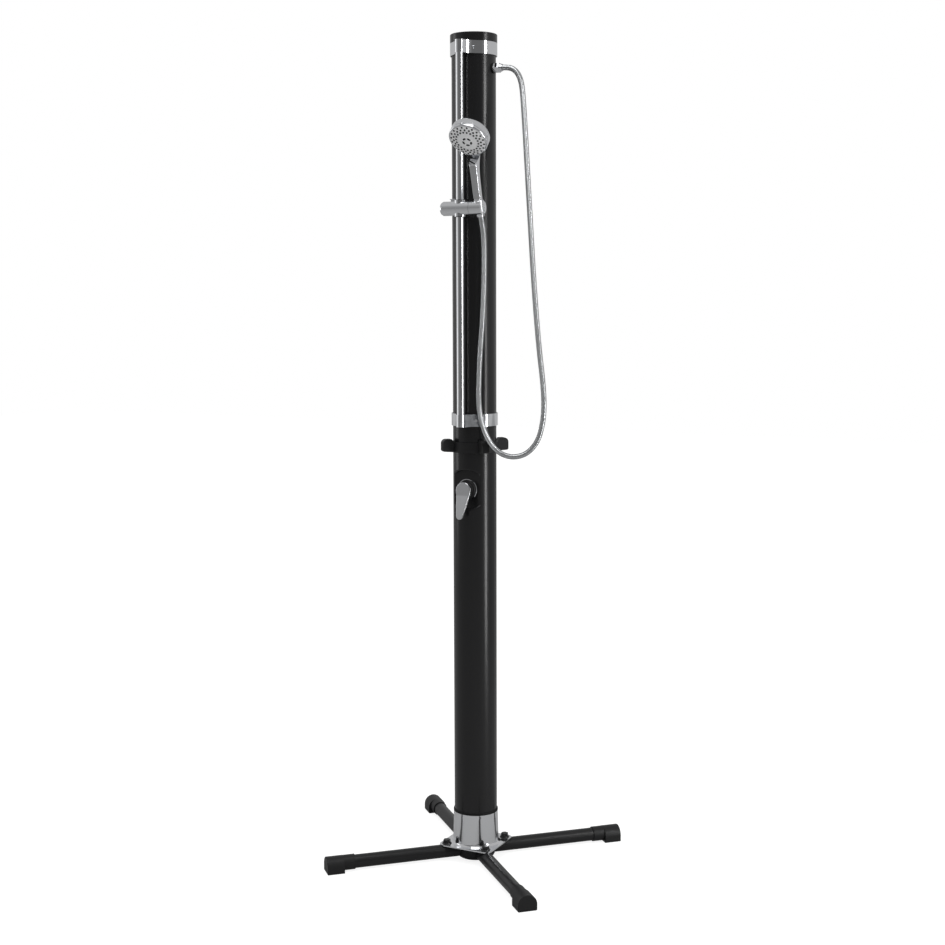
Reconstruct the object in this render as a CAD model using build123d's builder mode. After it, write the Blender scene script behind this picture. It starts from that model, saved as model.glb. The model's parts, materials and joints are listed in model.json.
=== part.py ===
from build123d import *

import os
from math import asin, cos, degrees, pi, radians, sin, sqrt, tan

# Solar outdoor shower, in millimetres. +Z is up and the front faces -Y. The origin is on the ground,
# on the column's axis. The hose outlet points along +X, and the legs lie on the diagonals.

# Column: two tubes of one section
tube_radius = 55.0
tube_wall = 3.2
lower_tube_bottom = 44.0
union_height = 1062.0
upper_tube_length = 1002.0

# Base: legs, feet, hub and the flange that the column stands in
leg_radius = 17.0
leg_wall = 2.0
leg_clear_of_ground = 4.0
leg_reach = 400.0
leg_start = 20.0
foot_width = 49.0
foot_block_length = 44.0
foot_sleeve_length = 74.0
foot_wall = 2.2
foot_end_wall = 5.0
foot_fit = 0.1
hub_radius = 50.0
hub_clear_of_ground = 1.5
plate_side = 148.0
plate_corner = 18.0
plate_thickness = 3.0
collar_height = 83.4
collar_top_radius = 57.0
collar_foot_radius = 59.0
collar_flare = 6.5
collar_fit = 0.3
leg_bolt_circle = 158.0
bolt_radius = 5.0
bolt_flange_radius = 13.0
bolt_head_across_flats = 17.0
bolt_head_height = 11.0
insert_radius = 6.5
insert_length = 14.0
set_screw_radius = 2.5
set_screw_height = 118.6
set_screw_bearing = -52.0
seal_height = 6.5
seal_stand_off = 0.4
plug_spigot_length = 36.0
plug_wall = 3.0

# Joint between the tubes
coupling_bore = 48.5
coupling_spigot = 30.0
thread_length = 15.5
thread_radius = 57.0
union_seal_thickness = 2.5
union_flange_thickness = 4.0
nut_radius = 59.5
nut_lip = 3.0
nut_skirt_below = 1.0
nut_clearance = 0.3
lug_reach = 87.0
lug_width = 20.0
lug_rise = 7.0
lug_corner = 11.0

# Rail and its straps
rail_radius = 9.5
rail_wall = 1.2
rail_distance = 76.0
strap_height = 31.0
strap_wall = 1.6
strap_ring_radius = 58.4
strap_flank_radius = 70.0
lower_strap_bottom = 1128.0
strap_screw_bearing = -60.0
strap_screw_radius = 2.0
strap_screw_head = 3.6
rail_fit = 0.05
rail_plug_head = 1.5

# Top cap
cap_edge_height = 21.2
cap_dome_rise = 4.2
cap_wall = 3.2
cap_edge_round = 2.0
cap_spigot_length = 42.0
cap_gap = 0.1

# Water fittings
pipe_radius = 6.0
pipe_wall = 1.2
pipe_bend = 12.0
pipe_fit = 0.05
pipe_socket = 18.0
tail_start = 30.0
tail_cover = 9.0
outlet_height = 2008.0
outlet_thread_radius = 9.8
outlet_washer_radius = 12.5
outlet_washer_depth = 3.0
hose_nut_across_flats = 22.0
hose_nut_length = 21.4
hose_nut_hex_length = 14.0
inlet_height = 230.0
inlet_thread_radius = 13.2
inlet_thread_length = 16.0
inlet_hex_across_flats = 32.0
inlet_hex_depth = 7.0
drain_height = 165.0
drain_thread_radius = 8.0
drain_hex_across_flats = 19.0
drain_hex_depth = 8.0
backnut_depth = 7.0

# Mixer in its recess
mixer_height = 968.0
recess_radius = 50.0
recess_floor = 40.0
recess_edge_round = 4.0
mixer_neck_radius = 16.0
mixer_body_radius = 18.0
mixer_body_depth = 28.0
port_radius = 4.7
port_depth = 22.0
port_spread = 20.0
port_length = 40.0
cartridge_radius = 14.0
trim_outer_radius = 26.8
trim_inner_radius = 20.2
trim_depth = 3.0
hub_cap_radius = 19.7
hub_cap_front = 51.0
lever_pivot = 54.0
lever_head_radius = 20.0
lever_tip_radius = 9.5
lever_tip_drop = 62.0
lever_thickness = 6.5
lever_face = 68.0
lever_crease_drop = 13.0
lever_tip_lean = 21.0
trunnion_radius = 2.0
ear_inner = 8.0
ear_outer = 12.0
ear_half_height = 5.0

# Slider and holder
slider_height = 1666.0
slider_radius = 17.5
slider_left = -48.0
slider_right = 30.0
end_cap_depth = 4.0
boss_radius = 14.0
boss_half_height = 20.0
bush_radius = 12.0
bush_lip = 1.0
running_gap = 0.1
lever_left = -31.0
lever_right = -16.0
lever_pin_radius = 1.5
lever_pin_offset_y = 12.0
lever_pin_offset_z = 10.0
lever_hub_radius = 3.6
lever_tab_top = 24.0
lever_tab_thickness = 3.0
axle_radius = 6.0
axle_head_radius = 7.2
axle_head_depth = 1.6
axle_start = 15.0
axle_shoulder = 40.0
tilt_washer_thickness = 0.6
holder_end = 69.0

# Hand shower, along its own axis from the point where that axis crosses the holder's
handset_x = 54.0
handset_lean = 16.0
cone_bottom = -21.0
cone_top = 17.0
cone_bottom_radius = 9.4
cone_top_radius = 12.2
cone_gap = 0.3
slot_width = 15.4
handle_width = 25.0
handle_front = 10.5
handle_corner = 5.5
neck_width = 30.0
neck_back = 24.5
panel_width = 15.5
panel_start = 24.0
panel_end = 99.0
panel_depth = 2.4
panel_proud = 0.4
face_along = 164.7
face_forward = 20.1
face_bend = 31.0
head_radius = 49.0
head_side = 14.0
head_shoulder_radius = 36.0
head_shoulder_depth = 31.0
head_depth = 34.0
ring_depth = 6.5
ring_wall = 4.6
ring_proud = 1.4
scoop_radius = 56.0
face_proud = 0.5
face_thickness = 3.0
nozzle_radius = 1.9
nozzle_height = 1.1
nozzle_rows = (40.0, 34.0, 28.0)
nozzles_in_row = 20
centre_slot_radius = 9.5
centre_slot_width = 4.4
centre_slots = 5
tab_length = 6.0
tab_width = 7.0
running_fit = 0.3

# Hose
hose_radius = 7.0

# Values that follow from the ones above
tube_bore = tube_radius - tube_wall
upper_tube_bottom = union_height + thread_length + union_seal_thickness + union_flange_thickness
upper_tube_top = upper_tube_bottom + upper_tube_length
cap_bottom = upper_tube_top - 15.4
upper_strap_bottom = cap_bottom - cap_gap - strap_height
leg_axis_z = leg_clear_of_ground + leg_radius
leg_end = leg_reach - foot_end_wall
plate_bottom = leg_axis_z + leg_radius
plate_top = plate_bottom + plate_thickness
collar_top = plate_top + collar_height
bolt_distance = leg_bolt_circle / 2
strap_loop_radius = rail_radius + rail_fit + strap_wall
leg_angles = {"front_left": 225, "front_right": 315, "rear_right": 45, "rear_left": 135}

os.makedirs("parts", exist_ok=True)


def keep(piece, name):
    """Name a finished piece and write it as parts/NAME.step."""
    piece.part.label = name
    export_step(piece.part, f"parts/{name}.step")


def across_leg(angle, distance):
    """The plane across a leg: local x is level, local y is up, and it faces outwards."""
    way = Vector(cos(radians(angle)), sin(radians(angle)), 0)
    return Plane(origin=way * distance + Vector(0, 0, leg_axis_z), x_dir=(-way.Y, way.X, 0), z_dir=way)


def outward(angle, distance, height):
    """The plane that faces away from the column at this bearing, with local y up."""
    way = Vector(cos(radians(angle)), sin(radians(angle)), 0)
    return Plane(origin=way * distance + Vector(0, 0, height), x_dir=(-way.Y, way.X, 0), z_dir=way)


def ring(plane, outer, inner, length):
    """A tube of this length on a plane, added to the piece that is being built."""
    with BuildSketch(plane) as section:
        Circle(outer)
        Circle(inner, mode=Mode.SUBTRACT)
    extrude(section.sketch, amount=length)


def disc(plane, radius, length, mode=Mode.ADD):
    """A round bar, or with Mode.SUBTRACT a round hole, on a plane."""
    with BuildSketch(plane) as section:
        Circle(radius)
    extrude(section.sketch, amount=length, mode=mode)


def hexagon(plane, across_flats, length):
    """A hexagonal bar on a plane."""
    with BuildSketch(plane) as section:
        RegularPolygon(across_flats / 2, 6, major_radius=False)
    extrude(section.sketch, amount=length)


# Legs: four round tubes, each drilled on top for its bolt's insert
for corner, angle in leg_angles.items():
    with BuildPart() as leg:
        ring(across_leg(angle, leg_start), leg_radius, leg_radius - leg_wall, leg_end - leg_start)
        hole_place = across_leg(angle, bolt_distance).origin
        disc(Plane(origin=hole_place), insert_radius + pipe_fit, leg_radius + 1, Mode.SUBTRACT)
    keep(leg, f"leg_{corner}")

# Feet: a sleeve with an arched top over the leg, ending in a flat block that stands on the ground
foot_sleeve_radius = leg_radius + foot_fit + foot_wall
for corner, angle in leg_angles.items():
    with BuildPart() as foot:
        with BuildSketch(across_leg(angle, leg_reach - foot_sleeve_length)):
            Circle(foot_sleeve_radius)
        extrude(amount=foot_sleeve_length)
        with BuildSketch(across_leg(angle, leg_reach - foot_block_length)):
            with BuildLine():
                Polyline(
                    (-foot_width / 2, -leg_axis_z + 2),
                    (-foot_width / 2 + 2, -leg_axis_z),
                    (foot_width / 2 - 2, -leg_axis_z),
                    (foot_width / 2, -leg_axis_z + 2),
                    (foot_width / 2, -4),
                )
                ThreePointArc((foot_width / 2, -4), (0, foot_sleeve_radius), (-foot_width / 2, -4))
                Line((-foot_width / 2, -4), (-foot_width / 2, -leg_axis_z + 2))
            make_face()
        extrude(amount=foot_block_length)
        fillet(foot.faces().sort_by(lambda face: face.center().dot(across_leg(angle, 0).z_dir))[-1].edges(), 1.5)
        disc(
            across_leg(angle, leg_reach - foot_sleeve_length),
            leg_radius + foot_fit,
            foot_sleeve_length - foot_end_wall,
            Mode.SUBTRACT,
        )
    keep(foot, f"foot_{corner}")

# Hub under the cross: a shallow dish with four channels for the inner ends of the legs
with BuildPart() as leg_hub:
    with BuildSketch(Plane.XZ):
        with BuildLine():
            Polyline((0, plate_bottom), (0, hub_clear_of_ground), (hub_radius - 8, hub_clear_of_ground))
            RadiusArc((hub_radius - 8, hub_clear_of_ground), (hub_radius, hub_clear_of_ground + 11), -13)
            Polyline((hub_radius, hub_clear_of_ground + 11), (hub_radius, plate_bottom), (0, plate_bottom))
        make_face()
    revolve(axis=Axis.Z)
    for angle in leg_angles.values():
        disc(across_leg(angle, leg_start - foot_fit), leg_radius + foot_fit, hub_radius, Mode.SUBTRACT)
keep(leg_hub, "leg_hub")

# Base flange: the square plate with the tapering collar that flares into it
with BuildPart() as base_flange:
    with BuildSketch(Plane.XY.offset(plate_bottom)):
        RectangleRounded(plate_side, plate_side, plate_corner)
    extrude(amount=plate_thickness)
    with BuildSketch(Plane.XZ):
        with BuildLine():
            flare_top = plate_top + collar_flare
            Line((tube_radius + collar_fit, plate_top), (collar_foot_radius + collar_flare, plate_top))
            RadiusArc(
                (collar_foot_radius + collar_flare, plate_top), (collar_foot_radius, flare_top), collar_flare
            )
            Line((collar_foot_radius, flare_top), (collar_top_radius, collar_top))
            Line((collar_top_radius, collar_top), (tube_radius + collar_fit, collar_top))
            Line((tube_radius + collar_fit, collar_top), (tube_radius + collar_fit, plate_top))
        make_face()
    revolve(axis=Axis.Z)
    with Locations((0, 0, plate_top)):
        with PolarLocations(bolt_distance, 4, 45):
            Hole(bolt_radius + 0.5, plate_thickness)
    for turn in range(4):
        bearing = set_screw_bearing + 90 * turn
        disc(outward(bearing, tube_bore, set_screw_height), set_screw_radius + pipe_fit, 8, Mode.SUBTRACT)
keep(base_flange, "base_flange")

with BuildPart() as leg_inserts:
    with BuildSketch(Plane.XY.offset(plate_bottom - insert_length)):
        with PolarLocations(bolt_distance, 4, 45):
            Circle(insert_radius)
    extrude(amount=insert_length)
    with BuildSketch(Plane.XY.offset(leg_axis_z + leg_radius * 0.5)):
        with PolarLocations(bolt_distance, 4, 45):
            Circle(insert_radius + 1.6)
    extrude(amount=3.2)
    with BuildSketch(Plane.XY.offset(plate_bottom - insert_length)):
        with PolarLocations(bolt_distance, 4, 45):
            Circle(bolt_radius + pipe_fit)
    extrude(amount=insert_length, mode=Mode.SUBTRACT)
keep(leg_inserts, "leg_inserts")

with BuildPart() as leg_bolts:
    with BuildSketch(Plane.XY.offset(plate_bottom - insert_length + 2)):
        with PolarLocations(bolt_distance, 4, 45):
            Circle(bolt_radius)
    extrude(amount=insert_length + plate_thickness)
    with BuildSketch(Plane.XY.offset(plate_top)):
        with PolarLocations(bolt_distance, 4, 45):
            Circle(bolt_flange_radius)
    extrude(amount=3.4, taper=35)
    with BuildSketch(Plane.XY.offset(plate_top + 2)):
        with PolarLocations(bolt_distance, 4, 45):
            RegularPolygon(bolt_head_across_flats / 2, 6, major_radius=False)
    extrude(amount=bolt_head_height - 2)
    chamfer(leg_bolts.faces().group_by(Axis.Z)[-1].edges(), 1.2)
keep(leg_bolts, "leg_bolts")

# The column's foot: plug, set screws and the lip seal on the collar's rim
with BuildPart() as base_plug:
    disc(Plane.XY.offset(plate_top), tube_radius, lower_tube_bottom - plate_top)
    ring(Plane.XY.offset(lower_tube_bottom), tube_bore - pipe_fit, tube_bore - plug_wall, plug_spigot_length)
keep(base_plug, "base_plug")

with BuildPart() as collar_screws:
    for turn in range(4):
        bearing = set_screw_bearing + 90 * turn
        disc(outward(bearing, tube_bore, set_screw_height), set_screw_radius, collar_top_radius + 0.9 - tube_bore)
keep(collar_screws, "collar_screws")

with BuildPart() as collar_seal:
    with BuildSketch(Plane.XZ):
        with BuildLine():
            seal_out = collar_top_radius + seal_stand_off
            Line((tube_radius + 0.05, collar_top), (seal_out, collar_top))
            Line((seal_out, collar_top), (seal_out, collar_top + seal_height - 3))
            ThreePointArc(
                (seal_out, collar_top + seal_height - 3),
                (seal_out - 0.7, collar_top + seal_height - 0.9),
                (tube_radius + 0.05, collar_top + seal_height),
            )
            Line((tube_radius + 0.05, collar_top + seal_height), (tube_radius + 0.05, collar_top))
        make_face()
    revolve(axis=Axis.Z)
keep(collar_seal, "collar_seal")

# Lower tube: one moulding with the round recess for the mixer sunk into its front
recess_plane = Plane(origin=(0, -recess_floor, mixer_height), x_dir=(1, 0, 0), z_dir=(0, -1, 0))
with BuildPart() as lower_tube:
    disc(Plane.XY.offset(lower_tube_bottom), tube_radius, union_height - lower_tube_bottom)
    disc(recess_plane, recess_radius, tube_radius, Mode.SUBTRACT)
    rim = lower_tube.edges().filter_by(lambda edge: edge.geom_type not in (GeomType.CIRCLE, GeomType.LINE))
    fillet(rim, recess_edge_round)
    with BuildPart(mode=Mode.PRIVATE) as tank:
        disc(Plane.XY.offset(lower_tube_bottom), tube_bore, union_height - lower_tube_bottom)
        disc(recess_plane.offset(-tube_wall), recess_radius + tube_wall, tube_radius, Mode.SUBTRACT)
    add(tank.part, mode=Mode.SUBTRACT)
    disc(recess_plane.offset(-tube_wall), mixer_neck_radius + running_gap, tube_wall, Mode.SUBTRACT)
    disc(outward(90, 0, inlet_height), inlet_thread_radius + running_gap, tube_radius, Mode.SUBTRACT)
    disc(outward(90, 0, drain_height), drain_thread_radius + running_gap, tube_radius, Mode.SUBTRACT)
    for turn in range(4):
        bearing = set_screw_bearing + 90 * turn
        disc(outward(bearing, 0, set_screw_height), set_screw_radius + pipe_fit, tube_radius, Mode.SUBTRACT)
keep(lower_tube, "lower_tube")

# Screwed joint between the tubes: threaded spigot below, flange above, the seal between them
with BuildPart() as lower_coupling:
    ring(
        Plane.XY.offset(union_height - coupling_spigot), tube_bore - pipe_fit, coupling_bore, coupling_spigot
    )
    ring(Plane.XY.offset(union_height), thread_radius, coupling_bore, thread_length)
keep(lower_coupling, "lower_coupling")

with BuildPart() as union_seal:
    seal_bottom = union_height + thread_length
    ring(Plane.XY.offset(seal_bottom), thread_radius - 3, coupling_bore, union_seal_thickness)
keep(union_seal, "union_seal")

with BuildPart() as upper_coupling:
    flange_bottom = upper_tube_bottom - union_flange_thickness
    ring(Plane.XY.offset(flange_bottom), thread_radius, coupling_bore, union_flange_thickness)
    ring(Plane.XY.offset(upper_tube_bottom), tube_bore - pipe_fit, coupling_bore, coupling_spigot)
keep(upper_coupling, "upper_coupling")

with BuildPart() as union_nut:
    nut_bottom = union_height - nut_skirt_below
    nut_top = upper_tube_bottom + nut_clearance + nut_lip
    ring(
        Plane.XY.offset(nut_bottom),
        nut_radius,
        thread_radius + nut_clearance,
        upper_tube_bottom + nut_clearance - nut_bottom,
    )
    ring(
        Plane.XY.offset(upper_tube_bottom + nut_clearance), nut_radius, tube_radius + nut_clearance, nut_lip
    )
    for angle in leg_angles.values():
        side = Plane(
            origin=(0, 0, nut_bottom),
            x_dir=(cos(radians(angle)), sin(radians(angle)), 0),
            z_dir=(sin(radians(angle)), -cos(radians(angle)), 0),
        )
        lug_height = nut_top + lug_rise - nut_bottom
        with BuildSketch(side):
            with BuildLine():
                Polyline((nut_radius - 2, 0), (lug_reach - 3, 2), (lug_reach, 5), (lug_reach, lug_height - lug_corner))
                ThreePointArc(
                    (lug_reach, lug_height - lug_corner),
                    (lug_reach - lug_corner * (1 - sqrt(0.5)), lug_height - lug_corner * (1 - sqrt(0.5))),
                    (lug_reach - lug_corner, lug_height),
                )
                Polyline(
                    (lug_reach - lug_corner, lug_height),
                    (nut_radius + 5, lug_height),
                    (nut_radius - 2, nut_top - nut_bottom),
                    (nut_radius - 2, 0),
                )
            make_face()
        extrude(amount=lug_width / 2, both=True)
        for groove in (-1, 0, 1):
            place = Vector(lug_reach + 0.8, 0, 0).rotate(Axis.Z, angle)
            shift = Vector(0, groove * lug_width / 4, 0).rotate(Axis.Z, angle)
            disc(Plane(origin=place + shift + Vector(0, 0, nut_bottom)), 1.8, lug_height, Mode.SUBTRACT)
keep(union_nut, "union_nut")

# Upper tube
with BuildPart() as upper_tube:
    ring(Plane.XY.offset(upper_tube_bottom), tube_radius, tube_bore, upper_tube_length)
    disc(outward(0, 0, outlet_height), outlet_thread_radius + running_gap, tube_radius, Mode.SUBTRACT)
    for bottom in (lower_strap_bottom, upper_strap_bottom):
        middle = bottom + strap_height / 2
        disc(
            outward(strap_screw_bearing, 0, middle),
            strap_screw_radius + pipe_fit,
            tube_radius,
            Mode.SUBTRACT,
        )
keep(upper_tube, "upper_tube")


def strap_outline(inset):
    """The strap's outline: a ring round the tube, a loop round the rail and a hollow flank each side."""
    ring_radius = strap_ring_radius - inset
    loop_radius = strap_loop_radius - inset
    flank = strap_flank_radius + inset
    from_ring = strap_ring_radius + strap_flank_radius
    from_loop = strap_loop_radius + strap_flank_radius
    flank_y = -(from_ring**2 - from_loop**2 + rail_distance**2) / (2 * rail_distance)
    flank_x = sqrt(from_ring**2 - flank_y**2)
    centre = Vector(flank_x, flank_y)
    on_ring = centre * (ring_radius / from_ring)
    loop_centre = Vector(0, -rail_distance)
    on_loop = loop_centre + (centre - loop_centre) * (loop_radius / from_loop)
    halfway = centre + ((on_ring + on_loop) / 2 - centre).normalized() * flank
    mirrored = [Vector(-point.X, point.Y) for point in (on_ring, halfway, on_loop)]
    with BuildLine() as outline:
        ThreePointArc(on_ring, (0, ring_radius), mirrored[0])
        ThreePointArc(mirrored[0], mirrored[1], mirrored[2])
        ThreePointArc(mirrored[2], (0, -rail_distance - loop_radius), on_loop)
        ThreePointArc(on_loop, halfway, on_ring)
    return outline.edges()


# Straps that hold the rail, with their screws and liners
for name, bottom in (("lower_strap", lower_strap_bottom), ("upper_strap", upper_strap_bottom)):
    with BuildPart() as strap:
        with BuildSketch(Plane.XY.offset(bottom)):
            make_face(strap_outline(0))
        extrude(amount=strap_height)
        with BuildSketch(Plane.XY.offset(bottom)):
            make_face(strap_outline(strap_wall))
        extrude(amount=strap_height, mode=Mode.SUBTRACT)
        disc(
            outward(strap_screw_bearing, tube_radius, bottom + strap_height / 2),
            strap_screw_radius + pipe_fit,
            rail_distance,
            Mode.SUBTRACT,
        )
    keep(strap, name)

strap_inner_radius = strap_ring_radius - strap_wall
with BuildPart() as strap_liners:
    for bottom in (lower_strap_bottom, upper_strap_bottom):
        ring(Plane.XY.offset(bottom), strap_inner_radius - pipe_fit, tube_radius + pipe_fit, strap_height)
        disc(
            outward(strap_screw_bearing, 0, bottom + strap_height / 2),
            strap_screw_radius + pipe_fit,
            rail_distance,
            Mode.SUBTRACT,
        )
keep(strap_liners, "strap_liners")

screw_seat = strap_ring_radius + 2.6
with BuildPart() as strap_screws:
    for bottom in (lower_strap_bottom, upper_strap_bottom):
        middle = bottom + strap_height / 2
        disc(outward(strap_screw_bearing, tube_bore, middle), strap_screw_radius, screw_seat - tube_bore)
        disc(outward(strap_screw_bearing, screw_seat, middle), strap_screw_head, 2.6)
        disc(outward(strap_screw_bearing, screw_seat + 1, middle), 1.6, 2, Mode.SUBTRACT)
keep(strap_screws, "strap_screws")

# Rail with its end plugs
rail_bottom = lower_strap_bottom + 3
rail_top = upper_strap_bottom + strap_height - 3
rail_axis = Plane(origin=(0, -rail_distance, 0))
with BuildPart() as rail:
    ring(rail_axis.offset(rail_bottom), rail_radius, rail_radius - rail_wall, rail_top - rail_bottom)
keep(rail, "rail")

with BuildPart() as rail_plugs:
    disc(rail_axis.offset(rail_bottom - rail_plug_head), rail_radius, rail_plug_head)
    disc(rail_axis.offset(rail_bottom), rail_radius - rail_wall - pipe_fit, 10)
    disc(rail_axis.offset(rail_top), rail_radius, rail_plug_head)
    disc(rail_axis.offset(rail_top - 10), rail_radius - rail_wall - pipe_fit, 10)
keep(rail_plugs, "rail_plugs")

# Top cap with its seal
cap_edge = cap_bottom + cap_edge_height
groove_bottom = upper_tube_top - 30
with BuildPart() as top_cap:
    with BuildSketch(Plane.XZ):
        with BuildLine():
            crown = strap_ring_radius - cap_edge_round
            on_edge = cap_edge_round * sqrt(0.5)
            Line((strap_ring_radius, cap_bottom), (strap_ring_radius, cap_edge - cap_edge_round))
            ThreePointArc(
                (strap_ring_radius, cap_edge - cap_edge_round),
                (crown + on_edge, cap_edge - cap_edge_round + on_edge),
                (crown, cap_edge),
            )
            dome_radius = (crown**2 + cap_dome_rise**2) / (2 * cap_dome_rise)
            dome_half_angle = degrees(asin(crown / dome_radius))
            CenterArc(
                (0, cap_edge + cap_dome_rise - dome_radius), dome_radius, 90 - dome_half_angle, dome_half_angle
            )
            Polyline(
                (0, cap_edge + cap_dome_rise),
                (0, upper_tube_top + cap_gap),
                (tube_bore - cap_wall, upper_tube_top + cap_gap),
                (tube_bore - cap_wall, upper_tube_top - cap_spigot_length),
                (tube_bore - cap_gap, upper_tube_top - cap_spigot_length),
                (tube_bore - cap_gap, groove_bottom),
                (tube_bore - 2.2, groove_bottom),
                (tube_bore - 2.2, groove_bottom + 2.6),
                (tube_bore - cap_gap, groove_bottom + 2.6),
                (tube_bore - cap_gap, upper_tube_top + cap_gap),
                (tube_radius + cap_gap, upper_tube_top + cap_gap),
                (tube_radius + cap_gap, cap_bottom),
                (strap_ring_radius, cap_bottom),
            )
        make_face()
    revolve(axis=Axis.Z)
keep(top_cap, "top_cap")

with BuildPart() as cap_seal:
    with BuildSketch(Plane.XZ):
        with Locations((tube_bore - 1.12, groove_bottom + 1.3)):
            Circle(1.05)
    revolve(axis=Axis.Z)
keep(cap_seal, "cap_seal")

# Mixer: the brass body behind the recess, its cartridge, trim ring, hub and lever
mixer_back = recess_floor - tube_wall
into_mixer = Plane(origin=(0, 0, mixer_height), x_dir=(1, 0, 0), z_dir=(0, -1, 0))
port_top = mixer_height + port_length
with BuildPart() as mixer_body:
    disc(into_mixer.offset(mixer_back - mixer_body_depth), mixer_body_radius, mixer_body_depth)
    disc(into_mixer.offset(mixer_back - 1), mixer_neck_radius, tube_wall + 1)
    disc(Plane(origin=(0, -port_depth, mixer_height - port_length)), port_radius, port_length)
    for side in (-1, 1):
        disc(Plane(origin=(side * port_spread / 2, -port_depth, mixer_height)), port_radius, port_length)
    disc(into_mixer.offset(mixer_back - 14), cartridge_radius + pipe_fit, 30, Mode.SUBTRACT)
keep(mixer_body, "mixer_body")

with BuildPart() as mixer_cartridge:
    disc(into_mixer.offset(mixer_back - 14), cartridge_radius, 14 + tube_wall)
    disc(into_mixer.offset(recess_floor), 5, 4)
keep(mixer_cartridge, "mixer_cartridge")

with BuildPart() as trim_ring:
    with BuildSketch(Plane(origin=(0, 0, mixer_height), x_dir=(1, 0, 0), z_dir=(0, 0, 1))):
        with BuildLine():
            Polyline(
                (trim_inner_radius, -recess_floor - trim_depth + 1),
                (trim_inner_radius, -recess_floor),
                (trim_outer_radius, -recess_floor),
            )
            ThreePointArc(
                (trim_outer_radius, -recess_floor),
                (trim_outer_radius - 1, -recess_floor - trim_depth * 0.8),
                (trim_outer_radius - 3, -recess_floor - trim_depth),
            )
            ThreePointArc(
                (trim_outer_radius - 3, -recess_floor - trim_depth),
                (trim_outer_radius - 4.6, -recess_floor - trim_depth * 0.8),
                (trim_inner_radius, -recess_floor - trim_depth + 1),
            )
        make_face()
    revolve(axis=Axis((0, 0, mixer_height), (0, 1, 0)))
keep(trim_ring, "trim_ring")

with BuildPart() as mixer_hub:
    with BuildSketch(Plane(origin=(0, 0, mixer_height), x_dir=(1, 0, 0), z_dir=(0, 0, 1))):
        with BuildLine():
            hub_back = recess_floor + running_fit
            Line((0, -hub_cap_front), (0, -hub_back))
            Line((0, -hub_back), (hub_cap_radius, -hub_back))
            Line((hub_cap_radius, -hub_back), (hub_cap_radius, -hub_back - 4))
            ThreePointArc(
                (hub_cap_radius, -hub_back - 4),
                (hub_cap_radius - 2.2, -hub_cap_front + 2),
                (hub_cap_radius - 6, -hub_cap_front),
            )
            Line((hub_cap_radius - 6, -hub_cap_front), (0, -hub_cap_front))
        make_face()
    revolve(axis=Axis((0, 0, mixer_height), (0, 1, 0)))
    for side in (-1, 1):
        ear_plane = Plane(origin=(side * ear_inner, 0, mixer_height), x_dir=(0, 1, 0), z_dir=(side, 0, 0))
        with BuildSketch(ear_plane):
            with Locations((-lever_pivot, 0)):
                Circle(ear_half_height - 0.5)
            with Locations((-(lever_pivot + hub_cap_front) / 2 + 1, 0)):
                Rectangle(lever_pivot - hub_cap_front + 2, 2 * ear_half_height - 1)
        extrude(amount=ear_outer - ear_inner)
    with BuildSketch(into_mixer.offset(hub_cap_front - 5)):
        Rectangle(2 * ear_inner, 2 * ear_half_height + 6)
    extrude(amount=6, mode=Mode.SUBTRACT)
    disc(into_mixer.offset(recess_floor), 5 + running_fit, 4 + running_fit, Mode.SUBTRACT)
    across_hub = Plane(origin=(-ear_outer, -lever_pivot, mixer_height), x_dir=(0, 1, 0), z_dir=(1, 0, 0))
    disc(across_hub, trunnion_radius + running_gap, 2 * ear_outer, Mode.SUBTRACT)
keep(mixer_hub, "mixer_hub")

with BuildPart() as mixer_lever:
    with BuildSketch(into_mixer.offset(lever_face - lever_thickness - 2)):
        with BuildLine():
            spread = (lever_head_radius - lever_tip_radius) / lever_tip_drop
            touch_x = cos(-spread)
            touch_y = -spread
            right_head = (lever_head_radius * touch_x, lever_head_radius * touch_y)
            right_tip = (lever_tip_radius * touch_x, lever_tip_radius * touch_y - lever_tip_drop)
            ThreePointArc(right_head, (0, lever_head_radius), (-right_head[0], right_head[1]))
            Line((-right_head[0], right_head[1]), (-right_tip[0], right_tip[1]))
            ThreePointArc((-right_tip[0], right_tip[1]), (0, -lever_tip_drop - lever_tip_radius), right_tip)
            Line(right_tip, right_head)
        make_face()
    extrude(amount=lever_tip_lean + lever_thickness + 12)
    lever_side = Plane(origin=(0, 0, mixer_height), x_dir=(0, -1, 0), z_dir=(-1, 0, 0))
    lever_bottom = -lever_tip_drop - lever_tip_radius - 1
    with BuildSketch(lever_side):
        with BuildLine():
            Polyline(
                (lever_face - 3, lever_head_radius + 1),
                (lever_face, -lever_crease_drop),
                (lever_face + lever_tip_lean, lever_bottom),
                (lever_face + lever_tip_lean - lever_thickness + 1.5, lever_bottom),
                (lever_face - lever_thickness, -lever_crease_drop - 2),
                (lever_face - lever_thickness, lever_head_radius + 1),
                (lever_face - 3, lever_head_radius + 1),
            )
        make_face()
    extrude(amount=lever_head_radius + 1, both=True, mode=Mode.INTERSECT)
    fillet(mixer_lever.edges().filter_by(lambda edge: edge.center().Y < -lever_face + 3), 1.4)
    with BuildSketch(into_mixer.offset(lever_pivot - 3.4)):
        Rectangle(2 * ear_inner - 0.6, 2 * ear_half_height - 1)
    extrude(amount=lever_face - lever_thickness - lever_pivot + 3.6)
    disc(across_hub, trunnion_radius, 2 * ear_outer)
keep(mixer_lever, "mixer_lever")

# Pipes inside the tanks
pipe_bore = pipe_radius - pipe_wall
pipe_start = port_top - pipe_socket
feed_top = mixer_height - port_length + pipe_socket


def pipe(path_points, bend):
    """A pipe swept along straight runs joined by bends."""
    with BuildLine():
        path = FilletPolyline(*path_points, radius=bend)
    with BuildSketch(Plane(origin=path @ 0, z_dir=path % 0)) as section:
        Circle(pipe_radius)
        Circle(pipe_bore, mode=Mode.SUBTRACT)
    sweep(section.sketch, path=path)


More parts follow.
